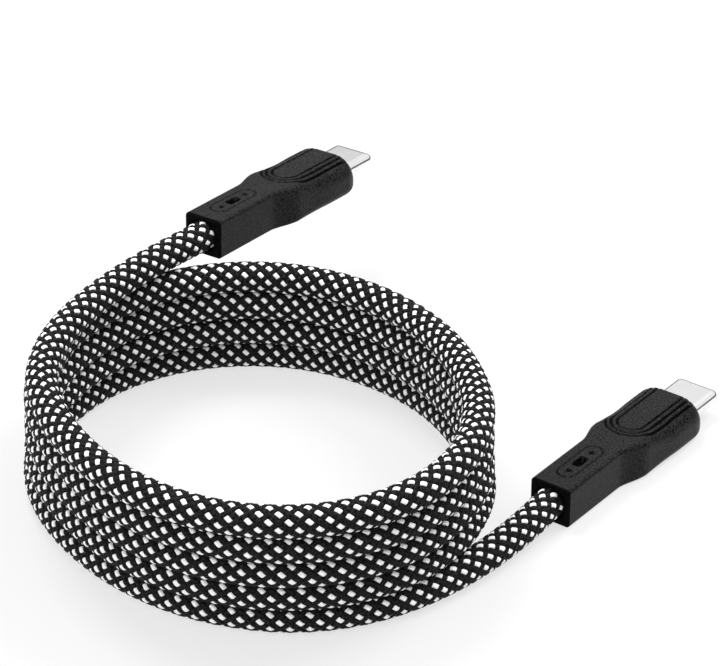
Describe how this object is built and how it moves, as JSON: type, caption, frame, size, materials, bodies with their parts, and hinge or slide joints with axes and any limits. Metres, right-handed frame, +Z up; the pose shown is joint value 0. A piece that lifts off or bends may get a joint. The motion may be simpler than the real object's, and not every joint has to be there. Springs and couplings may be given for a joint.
{
  "type": "charging cable",
  "caption": "Braided self-coiling charging cable, wound as a round stack of turns, with a moulded plug on each end that has a flat metal tip.",
  "frame": {"origin": "on the surface the cable lies on, under the centre of the box around the two plugs", "axes": "+Y is the way the plug on the surface points, +Z is up, +X to that plug's right"},
  "size_m": [0.09, 0.1139, 0.0267],
  "materials": {
    "moulded_black": "fine satin texture on soft moulded plastic",
    "inner_white": "plain moulded",
    "steel": "polished stamped stainless steel",
    "housing_black": "smooth moulded",
    "contact_gold": "bright gold plating",
    "board_green": "gloss solder mask",
    "braid": "round braid of black yarn with white yarns that show as a checked pattern",
    "jacket": "smooth flexible jacket",
    "wire_black": "plain insulation",
    "wire_white": "plain insulation",
    "wire_red": "plain insulation",
    "wire_blue": "plain insulation"
  },
  "bodies": {
    "root": {"overmould_a": "moulded_black", "inner_mould_a": "inner_white", "plug_shell_a": "steel", "rear_shield_a": "steel", "contact_housing_a": "housing_black", "contacts_upper_a": "contact_gold", "contacts_lower_a": "contact_gold", "latch_plate_a": "steel", "ground_spring_upper_a": "steel", "ground_spring_lower_a": "steel", "paddle_card_a": "board_green", "marker_chip_a": "housing_black", "crimp_ferrule_a": "steel", "jacket_end_a": "jacket", "wire_ground_a": "wire_black", "wire_data_a": "wire_white", "wire_power_a": "wire_red", "wire_sense_a": "wire_blue", "overmould_b": "moulded_black", "inner_mould_b": "inner_white", "plug_shell_b": "steel", "rear_shield_b": "steel", "contact_housing_b": "housing_black", "contacts_upper_b": "contact_gold", "contacts_lower_b": "contact_gold", "latch_plate_b": "steel", "ground_spring_upper_b": "steel", "ground_spring_lower_b": "steel", "paddle_card_b": "board_green", "marker_chip_b": "housing_black", "crimp_ferrule_b": "steel", "jacket_end_b": "jacket", "wire_ground_b": "wire_black", "wire_data_b": "wire_white", "wire_power_b": "wire_red", "wire_sense_b": "wire_blue", "cord_tail_a": "braid", "cord_coil": "braid", "cord_tail_b": "braid"}
  },
  "joints": []
}
